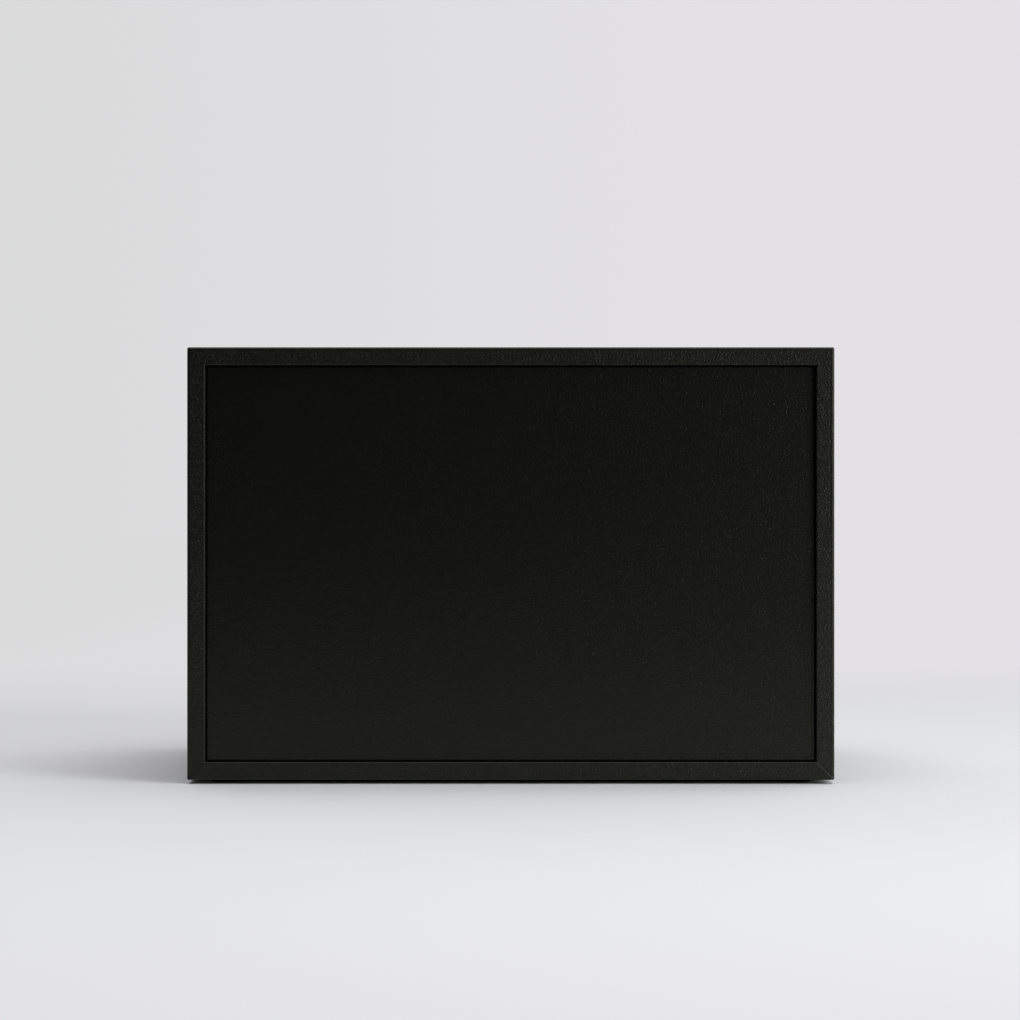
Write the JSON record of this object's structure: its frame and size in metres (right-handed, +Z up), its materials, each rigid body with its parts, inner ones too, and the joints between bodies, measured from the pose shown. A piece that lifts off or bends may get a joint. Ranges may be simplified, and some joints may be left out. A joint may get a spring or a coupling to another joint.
{
  "type": "desktop drawer organizer",
  "caption": "Black leatherette desktop drawer organizer: a rectangular covered case with a recessed back panel, sliding trays with turned metal knobs and low pads under its corners.",
  "frame": {"origin": "on the desk, under the middle of the whole part's box, with the feet's soles at zero", "axes": "+X to the right of someone who faces the drawers, -Y the way the drawers open, +Z up"},
  "size_m": [0.34, 0.2632, 0.2294],
  "materials": {
    "leatherette": "black leatherette with a fine pebble grain and a satin sheen",
    "fibreboard": "fibreboard faced with matt black paper",
    "lined_board": "fibreboard lined with black flock paper",
    "flock": "black flock sheet",
    "knob_nickel": "turned metal with a satin nickel plate",
    "screw_steel": "zinc-plated steel",
    "foot_foam": "matt black foam rubber"
  },
  "bodies": {
    "case": {"case_top_board": "fibreboard", "case_bottom_board": "fibreboard", "case_left_board": "fibreboard", "case_right_board": "fibreboard", "case_cover": "leatherette", "back_panel_board": "fibreboard", "back_panel_cover": "leatherette", "shelf_under_middle_drawer": "lined_board", "shelf_under_upper_drawer": "lined_board", "bay_lining": "flock", "foot_front_left": "foot_foam", "foot_front_right": "foot_foam", "foot_rear_left": "foot_foam", "foot_rear_right": "foot_foam"},
    "lower_drawer": {"lower_drawer_front_board": "fibreboard", "lower_drawer_front_cover": "leatherette", "lower_drawer_front_wall": "lined_board", "lower_drawer_left_side": "lined_board", "lower_drawer_right_side": "lined_board", "lower_drawer_rear_wall": "lined_board", "lower_drawer_bottom": "lined_board", "lower_drawer_liner": "flock", "lower_drawer_knob": "knob_nickel", "lower_drawer_knob_screw": "screw_steel"},
    "middle_drawer": {"middle_drawer_front_board": "fibreboard", "middle_drawer_front_cover": "leatherette", "middle_drawer_front_wall": "lined_board", "middle_drawer_left_side": "lined_board", "middle_drawer_right_side": "lined_board", "middle_drawer_rear_wall": "lined_board", "middle_drawer_bottom": "lined_board", "middle_drawer_liner": "flock", "middle_drawer_knob": "knob_nickel", "middle_drawer_knob_screw": "screw_steel"},
    "upper_drawer": {"upper_drawer_front_board": "fibreboard", "upper_drawer_front_cover": "leatherette", "upper_drawer_front_wall": "lined_board", "upper_drawer_left_side": "lined_board", "upper_drawer_right_side": "lined_board", "upper_drawer_rear_wall": "lined_board", "upper_drawer_bottom": "lined_board", "upper_drawer_liner": "flock", "upper_drawer_knob": "knob_nickel", "upper_drawer_knob_screw": "screw_steel"}
  },
  "joints": [
    {"name": "lower_drawer_slide", "type": "slide", "parent": "case", "child": "lower_drawer", "axis": [0, -1, 0], "range_m": [0, 0.18]},
    {"name": "middle_drawer_slide", "type": "slide", "parent": "case", "child": "middle_drawer", "axis": [0, -1, 0], "range_m": [0, 0.18]},
    {"name": "upper_drawer_slide", "type": "slide", "parent": "case", "child": "upper_drawer", "axis": [0, -1, 0], "range_m": [0, 0.18]}
  ]
}
